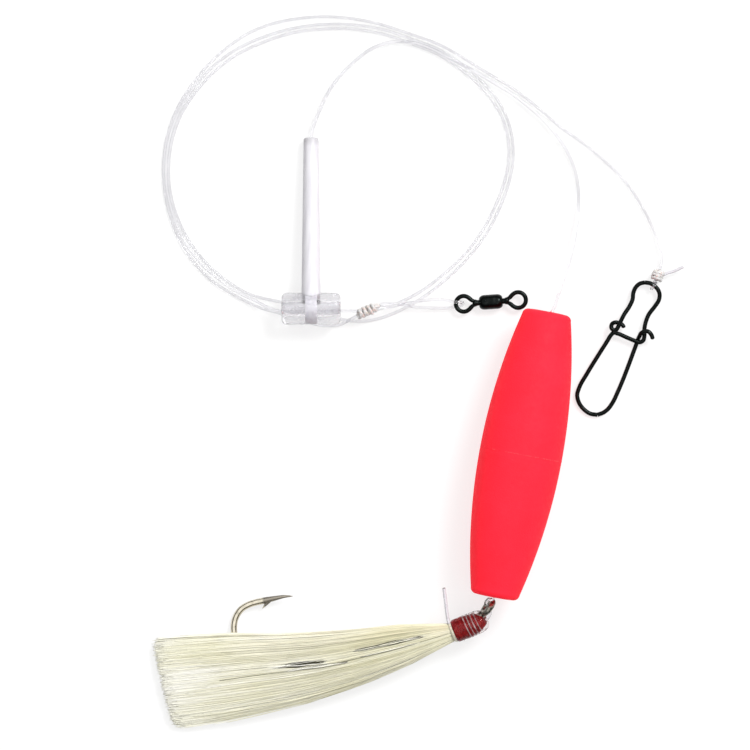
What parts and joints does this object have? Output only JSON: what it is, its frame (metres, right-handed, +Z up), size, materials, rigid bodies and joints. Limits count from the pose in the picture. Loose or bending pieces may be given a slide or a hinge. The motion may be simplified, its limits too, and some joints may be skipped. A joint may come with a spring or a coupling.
{
  "type": "bobber float rig",
  "caption": "Cigar-shaped foam fishing float on a clear leader with a standoff tee, barrel swivel, wire snap and a snelled hook dressed in hair.",
  "frame": {"origin": "on the table, under the middle of the tackle laid out flat, not counting the lines", "axes": "+Z up from the table; +Y along the float, from the hook towards the swivel; +X towards the snap"},
  "size_m": [0.1406, 0.1874, 0.022],
  "materials": {
    "float_foam": "matte fluorescent red moulded foam, fine cell texture, faint mould line",
    "tee_plastic": "clear polished plastic with a faint lilac tint",
    "clear_line": "clear nylon monofilament, smooth",
    "black_nickel": "satin black plated metal",
    "hook_nickel": "bright warm nickel plate, small scratches",
    "bucktail_hair": "ivory natural deer tail hair, fine and slightly wavy",
    "red_thread": "dark red tying thread, wound tight",
    "head_cement": "clear hard varnish, high gloss"
  },
  "bodies": {
    "main_line": {"main_line_lead": "clear_line", "main_line_first_turn": "clear_line", "main_line_second_turn": "clear_line", "main_line_tail": "clear_line", "loop_knot": "clear_line", "swivel_loop": "clear_line", "snap_knot": "clear_line", "snap_knot_tag": "clear_line"},
    "dropper": {"standoff_tee": "tee_plastic", "branch_stop_knot": "clear_line", "branch_line_stem": "clear_line", "branch_line": "clear_line", "branch_line_bore": "clear_line"},
    "float": {"float_body": "float_foam"},
    "hook": {"hook": "hook_nickel", "bucktail": "bucktail_hair", "head_thread": "red_thread", "head_cement": "head_cement", "snell_line": "clear_line", "snell_wraps": "clear_line", "snell_tag": "clear_line"},
    "line_eye": {"swivel_line_eye": "black_nickel"},
    "barrel": {"swivel_barrel": "black_nickel"},
    "free_eye": {"swivel_free_eye": "black_nickel"},
    "snap": {"snap_frame": "black_nickel"},
    "lower_gate": {"snap_lower_gate": "black_nickel"},
    "upper_gate": {"snap_upper_gate": "black_nickel"}
  },
  "joints": [
    {"name": "tee_slide", "type": "slide", "parent": "main_line", "child": "dropper", "axis": [1, 0, 0], "range_m": [0, 0.0034]},
    {"name": "float_spin", "type": "hinge", "parent": "dropper", "child": "float", "pos_m": [0.02974, -0.00524, 0.01098], "axis": [0.1847, 0.9828, 0], "continuous": true},
    {"name": "hook_lift", "type": "hinge", "parent": "dropper", "child": "hook", "pos_m": [0.02114, -0.04544, 0.0069], "axis": [-0.7944, 0.6073, 0], "range_deg": [0, 50]},
    {"name": "swivel_swing", "type": "hinge", "parent": "main_line", "child": "line_eye", "pos_m": [0.0128, 0.03411, 0.00198], "axis": [0.0698, -0.9976, 0], "range_deg": [0, 100]},
    {"name": "barrel_spin", "type": "hinge", "parent": "line_eye", "child": "barrel", "pos_m": [0.02199, 0.03476, 0.00198], "axis": [0.9976, 0.0698, 0], "continuous": true},
    {"name": "free_eye_spin", "type": "hinge", "parent": "barrel", "child": "free_eye", "pos_m": [0.02199, 0.03476, 0.00198], "axis": [0.9976, 0.0698, 0], "continuous": true},
    {"name": "snap_swing", "type": "hinge", "parent": "main_line", "child": "snap", "pos_m": [0.06484, 0.03905, 0.00176], "axis": [-0.8107, 0.5855, 0], "range_deg": [0, 120]},
    {"name": "lower_gate_flex", "type": "hinge", "parent": "snap", "child": "lower_gate", "pos_m": [0.05004, 0.00515, 0.00057], "axis": [0, 0, 1], "range_deg": [0, 6], "stiffness_Nm_per_rad": 0.002},
    {"name": "upper_gate_flex", "type": "hinge", "parent": "snap", "child": "upper_gate", "pos_m": [0.06244, 0.03986, 0.00176], "axis": [0, 0, 1], "range_deg": [0, 5], "stiffness_Nm_per_rad": 0.002}
  ]
}
